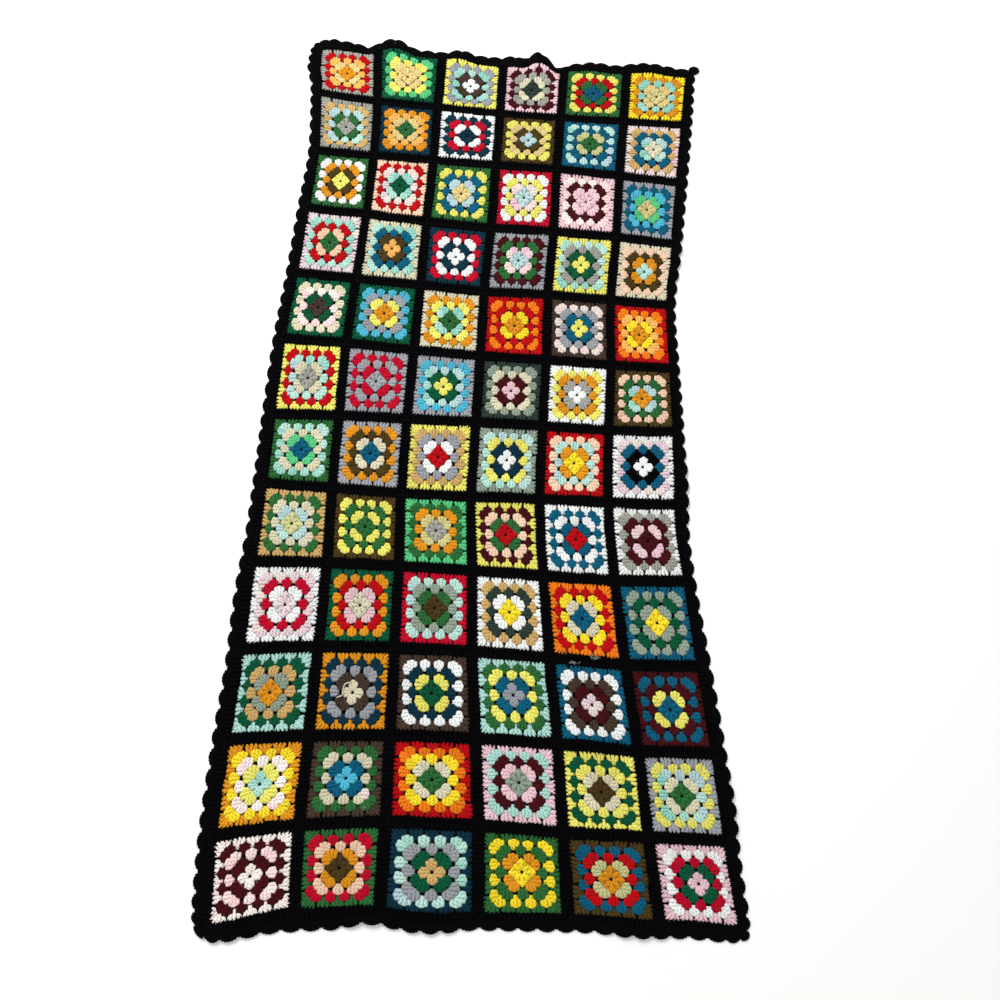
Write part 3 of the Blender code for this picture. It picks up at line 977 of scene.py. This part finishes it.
def strip_joins(row):
    """The black round of each square of a strip, its seams, and the black sheet of painted shade under
    it.
    """
    rng = np.random.default_rng(SEED + 500 + row)
    black = LETTERS.index(BLACK)
    flat = black_stitches()
    stitches = []
    for column in range(COLUMNS):
        centre = np.array([(column + 0.5) * PITCH, -(row + 0.5) * PITCH])
        paths = flat + centre
        paths = paths + rng.normal(0, BLACK_SHIFT, (len(flat), 1, 2)) * (1 - BLACK_ALONG[:, None])
        lifts = np.broadcast_to(BLACK_LEVEL, flat.shape[:-1]) + rng.normal(0, BLACK_LIFT, (len(flat), 1))
        size = rng.normal(1, BLACK_SIZE, (len(flat), 1))
        stitches.append(
            tubes(
                with_height(paths, lifts),
                BLACK_HALF_WIDTH * BLACK_WIDTH * size,
                BLACK_HALF_HEIGHT * BLACK_HEIGHT * size,
                BLACK_SIDES,
                PLAIN_SHADE,
                black,
            )
        )
    # A black sheet of painted shade under the strip's squares, which darkens the holes between the
    # stitches
    shade_sheet = shade_sheet_mesh(
        (0, COLUMNS * PITCH),
        (-row * PITCH, -(row + 1) * PITCH),
        COLUMNS * SHADE_SHEET_CELLS,
        SHADE_SHEET_CELLS,
    )
    return yarn_piece(f"strip_{row + 1:02d}_joins", [joined(stitches), seams(row)], shade_sheet)


def seams(row):
    """The whipped seams of a strip: ridges that swell at each stitch and sway from side to side.

    The ridge's size is 1 - swell |cos|, and its place is sway times a sine that runs a lean ahead,
    both with one wave a stitch.
    """
    black = LETTERS.index(BLACK)
    knots = np.arange(2 * SEAM_STITCHES + 1) / (2 * SEAM_STITCHES)
    swell = 1 - SEAM_SWELL * np.abs(np.cos(math.pi * SEAM_STITCHES * knots))
    sway = SEAM_SWAY * np.sin(2 * math.pi * SEAM_STITCHES * knots + SEAM_LEAN)
    paths = []
    for column in range(1, COLUMNS):
        a = column * PITCH + sway
        b = -(row + knots) * PITCH
        paths.append(np.stack([a, b], axis=-1))
    if row > 0:
        for column in range(COLUMNS):
            a = (column + knots) * PITCH
            b = -row * PITCH + sway
            paths.append(np.stack([a, b], axis=-1))
    paths = np.array(paths)
    placed = with_height(paths, np.full(paths.shape[:-1], SEAM_LEVEL))
    width = np.broadcast_to(SEAM_HALF_WIDTH * swell, paths.shape[:-1])
    height = np.broadcast_to(SEAM_HALF_HEIGHT * swell, paths.shape[:-1])
    return tubes(placed, width, height, BLACK_SIDES, PLAIN_SHADE, black)


def edging_sides():
    """For each side: its start, its direction, outwards, its length, its shells and their valley."""
    width = COLUMNS * PITCH
    depth = ROWS * PITCH
    return (
        ((0, -depth), (1, 0), (0, -1 / ROW_STRETCH), width, SHELLS_PER_END, SHELL_VALLEY_AT_ENDS),
        ((width, -depth), (0, 1), (1, 0), depth, SHELLS_PER_SIDE, SHELL_VALLEY),
        ((width, 0), (-1, 0), (0, 1 / ROW_STRETCH), width, SHELLS_PER_END, SHELL_VALLEY_AT_ENDS),
        ((0, 0), (0, -1), (-1, 0), depth, SHELLS_PER_SIDE, SHELL_VALLEY),
    )


def shell_edging():
    """The black edging: a foundation row round the cloth, and a fan of stitches for each shell.

    In a shell of width w, post k of n ends at w (k + 1/2) / n along it and at the depth
    valley + (tip - valley) sin(pi (k + 1/2) / n) ^ roundness, and starts nearly as far along it. A
    corner's posts all start at the corner and turn from one side's outwards to the next one's, with
    the same formula for how far they reach.
    """
    rng = np.random.default_rng(SEED + 900)
    black = LETTERS.index(BLACK)
    fans = []
    rows = []
    sides = edging_sides()
    for side, (start, direction, outwards, length, shells, valley) in enumerate(sides):
        start, direction, outwards = (np.array(x, float) for x in (start, direction, outwards))
        width = length / shells
        share = (np.arange(SHELL_POSTS) + 0.5) / SHELL_POSTS
        middle = (np.arange(shells) + 0.5) * width
        swell = np.sin(math.pi * share) ** SHELL_ROUNDNESS
        tip_along = (middle[:, None] + (share - 0.5) * width).ravel()
        foot_along = (middle[:, None] + (share - 0.5) * width * SHELL_FEET).ravel()
        tip_depth = np.tile(valley + (SHELL_TIP - valley) * swell, shells)
        foot = start + foot_along[:, None] * direction - SHELL_FOOT_INSIDE * outwards
        tip = start + tip_along[:, None] * direction + tip_depth[:, None] * outwards
        fans.append(foot[:, None] + (tip - foot)[:, None] * POST_ALONG[:, None])
        count = shells * ROW_STITCHES
        place = (np.arange(count) + 0.5) * length / count
        inner = start + place[:, None] * direction - ROW_INSIDE * outwards
        outer = start + place[:, None] * direction + (valley - ROW_SHORT) * outwards
        along = np.array([0.0, 0.5, 1.0])[:, None]
        rows.append(inner[:, None] + (outer - inner)[:, None] * along)
        end = start + length * direction
        next_outwards = np.array(sides[(side + 1) % 4][2], float)
        turn = np.linspace(0, 1, CORNER_POSTS + 2)[1:-1, None]
        fan = (1 - turn) * outwards + turn * next_outwards
        fan = fan / np.linalg.norm(fan, axis=1)[:, None]
        swell = np.sin(math.pi * turn) ** CORNER_ROUNDNESS[side]
        reach = SHELL_VALLEY + (CORNER_TIPS[side] - CORNER_STITCH_END - SHELL_VALLEY) * swell
        foot = np.repeat(end[None], CORNER_POSTS, axis=0)
        tip = end + fan * reach
        fans.append(foot[:, None] + (tip - foot)[:, None] * POST_ALONG[:, None])
    flat = np.concatenate(fans)
    lifts = np.interp(POST_ALONG, [0, 0.5, 1], SHELL_LEVELS) + rng.normal(0, SHELL_LIFT, (len(flat), 1))
    size = rng.normal(1, POST_SIZE, (len(flat), 1))
    fan_tubes = tubes(
        with_height(flat, lifts),
        POST_HALF_WIDTH * SHELL_WIDTH * size,
        SHELL_HALF_HEIGHT * SHELL_HEIGHT * size,
        POST_SIDES,
        PLAIN_SHADE,
        black,
    )
    flat = np.concatenate(rows)
    shape = np.broadcast_to(ROW_SHAPE, flat.shape[:-1])
    row_tubes = tubes(
        with_height(flat, np.full(flat.shape[:-1], ROW_LEVEL)),
        ROW_HALF_WIDTH * shape,
        ROW_HALF_HEIGHT * shape,
        BLACK_SIDES,
        PLAIN_SHADE,
        black,
    )
    return yarn_piece("shell_edging", [fan_tubes, row_tubes])


def matt_floor_material():
    """Painted board: pale and matt, nearly white, so that it gives the eye an even backdrop."""
    material = bpy.data.materials.new("painted_board")
    material.use_nodes = True
    tree = material.node_tree
    shader = tree.nodes["Principled BSDF"]
    place = add_node(tree, "ShaderNodeTexCoord").outputs["Object"]
    grain = add_node(tree, "ShaderNodeTexNoise", {"Vector": place, "Scale": 40.0, "Detail": 2.0})
    height = grain.outputs["Fac"]
    bump = add_node(tree, "ShaderNodeBump", {"Height": height, "Strength": 0.05, "Distance": MM})
    tree.links.new(bump.outputs["Normal"], shader.inputs["Normal"])
    shader.inputs["Base Color"].default_value = hex_to_linear("f4f4f2")
    shader.inputs["Roughness"].default_value = 0.85
    shader.inputs["Specular IOR Level"].default_value = 0.2
    return material


def add_floor():
    """A wide flat floor under the blanket."""
    half = 6.0
    corners = [(-half, -half, 0), (half, -half, 0), (half, half, 0), (-half, half, 0)]
    mesh = bpy.data.meshes.new("floor")
    mesh.from_pydata(corners, [], [(0, 1, 2, 3)])
    mesh.materials.append(matt_floor_material())
    floor = bpy.data.objects.new("floor", mesh)
    bpy.context.scene.collection.objects.link(floor)
    return floor


def add_light(name, place, aim, size, power):
    """A soft square area light at place, turned towards aim."""
    light = bpy.data.lights.new(name, "AREA")
    light.shape = "SQUARE"
    light.size = size
    light.energy = power
    lamp = bpy.data.objects.new(name, light)
    lamp.location = place
    lamp.rotation_mode = "QUATERNION"
    lamp.rotation_quaternion = (Vector(aim) - Vector(place)).to_track_quat("-Z", "Y")
    bpy.context.scene.collection.objects.link(lamp)


def light_studio():
    """An even pale surround, and one broad soft light high at the far left."""
    world = bpy.data.worlds.new("studio")
    world.use_nodes = True
    background = world.node_tree.nodes["Background"]
    background.inputs["Color"].default_value = (1, 1, 1, 1)
    background.inputs["Strength"].default_value = 0.75
    bpy.context.scene.world = world
    add_light("key", (-1.4, 1.6, 2.6), (0, 0, 0), 1.6, 95)


def add_camera():
    """A camera above the near end, looking down at the blanket and rolled a little."""
    place = Vector((-0.0930, -0.5863, 1.4775))
    aim = Vector((0.0141, -0.1537, 0.0))
    roll = math.radians(16.56)
    data = bpy.data.cameras.new("camera")
    data.lens = 28.8
    data.sensor_width = 36.0
    camera = bpy.data.objects.new("camera", data)
    camera.location = place
    camera.rotation_mode = "QUATERNION"
    camera.rotation_quaternion = (aim - place).to_track_quat("-Z", "Y") @ Quaternion((0, 0, 1), roll)
    bpy.context.scene.collection.objects.link(camera)
    bpy.context.scene.camera = camera


def strip_size(row):
    """The flat width and depth of a strip, from its middle lines, in metres."""
    middle_a = COLUMNS * PITCH / 2
    middle_b = -(row + 0.5) * PITCH
    left, right = lay_on_cloth(np.array([[0, middle_b, 0], [2 * middle_a, middle_b, 0]]))
    far_b, near_b = -row * PITCH, -(row + 1) * PITCH
    far, near = lay_on_cloth(np.array([[middle_a, far_b, 0], [middle_a, near_b, 0]]))
    return float(right[0] - left[0]), float(far[1] - near[1])


add_camera()
light_studio()
floor = add_floor()
for row in range(ROWS):
    squares = strip_squares(row)
    joins = strip_joins(row)
    for piece, slot in ((squares, "coloured_yarn"), (joins, "black_yarn")):
        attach(piece, "root")
        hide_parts(f"strip_{row + 1:02d}")
    strip_size(row)
edging = shell_edging()
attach(edging, "root")
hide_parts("edging")

bpy.context.scene.view_settings.view_transform = "Standard"
